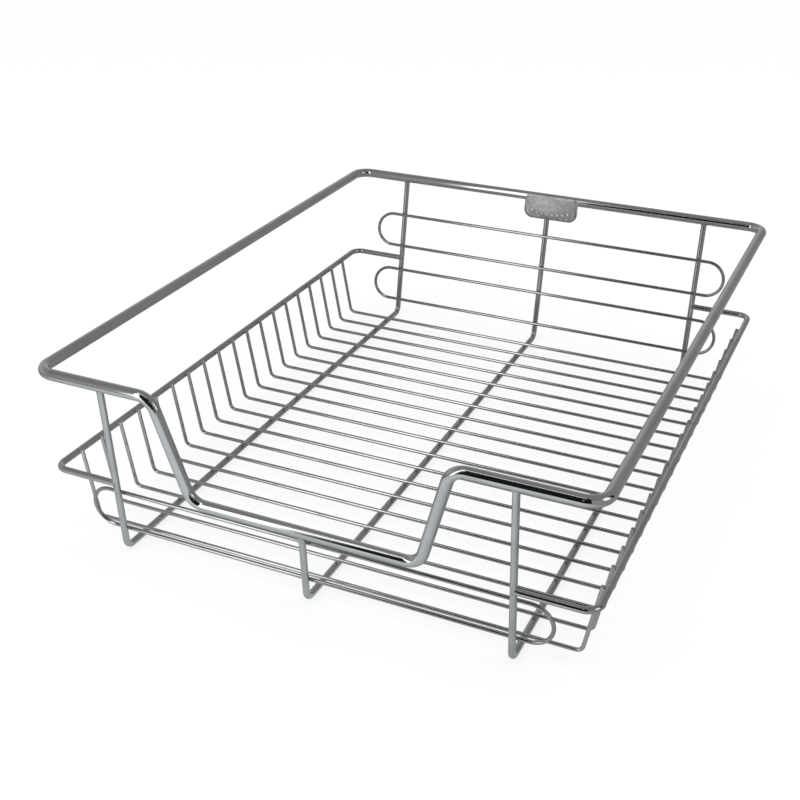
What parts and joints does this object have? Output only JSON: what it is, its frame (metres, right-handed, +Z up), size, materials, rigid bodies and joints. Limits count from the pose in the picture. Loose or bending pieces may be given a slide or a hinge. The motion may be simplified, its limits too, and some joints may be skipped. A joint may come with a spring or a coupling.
{
  "type": "pull out cabinet basket",
  "caption": "Chrome wire basket for a pull out cabinet shelf, with a rounded rim that dips at the front, wire floor and sides, side rails and long loops on both ends.",
  "frame": {"origin": "centre of the basket's outline seen from above, at the underside of the frame wires, where it stands", "axes": "+Y from the dipped front to the back, +X to the right seen from the front, +Z up"},
  "size_m": [0.4, 0.5, 0.139],
  "materials": {
    "rim_chrome": "bright chrome plate on a thick steel wire",
    "frame_chrome": "bright chrome plate on drawn steel wire",
    "rail_chrome": "bright chrome plate on drawn steel wire",
    "wire_chrome": "bright chrome plate on thin drawn steel wire",
    "badge_metal": "satin chrome plate on a small pressed plate, bare"
  },
  "bodies": {
    "root": {"top_rim": "rim_chrome", "frame_wire_left": "frame_chrome", "frame_wire_middle": "frame_chrome", "frame_wire_right": "frame_chrome", "side_rail_left": "rail_chrome", "side_rail_right": "rail_chrome", "cross_wire_01": "wire_chrome", "cross_wire_02": "wire_chrome", "cross_wire_03": "wire_chrome", "cross_wire_04": "wire_chrome", "cross_wire_05": "wire_chrome", "cross_wire_06": "wire_chrome", "cross_wire_07": "wire_chrome", "cross_wire_08": "wire_chrome", "cross_wire_09": "wire_chrome", "cross_wire_10": "wire_chrome", "cross_wire_11": "wire_chrome", "cross_wire_12": "wire_chrome", "cross_wire_13": "wire_chrome", "cross_wire_14": "wire_chrome", "cross_wire_15": "wire_chrome", "cross_wire_16": "wire_chrome", "cross_wire_17": "wire_chrome", "cross_wire_18": "wire_chrome", "cross_wire_19": "wire_chrome", "back_loop_upper": "wire_chrome", "back_loop_lower": "wire_chrome", "front_loop": "wire_chrome", "badge_plate": "badge_metal"}
  },
  "joints": []
}
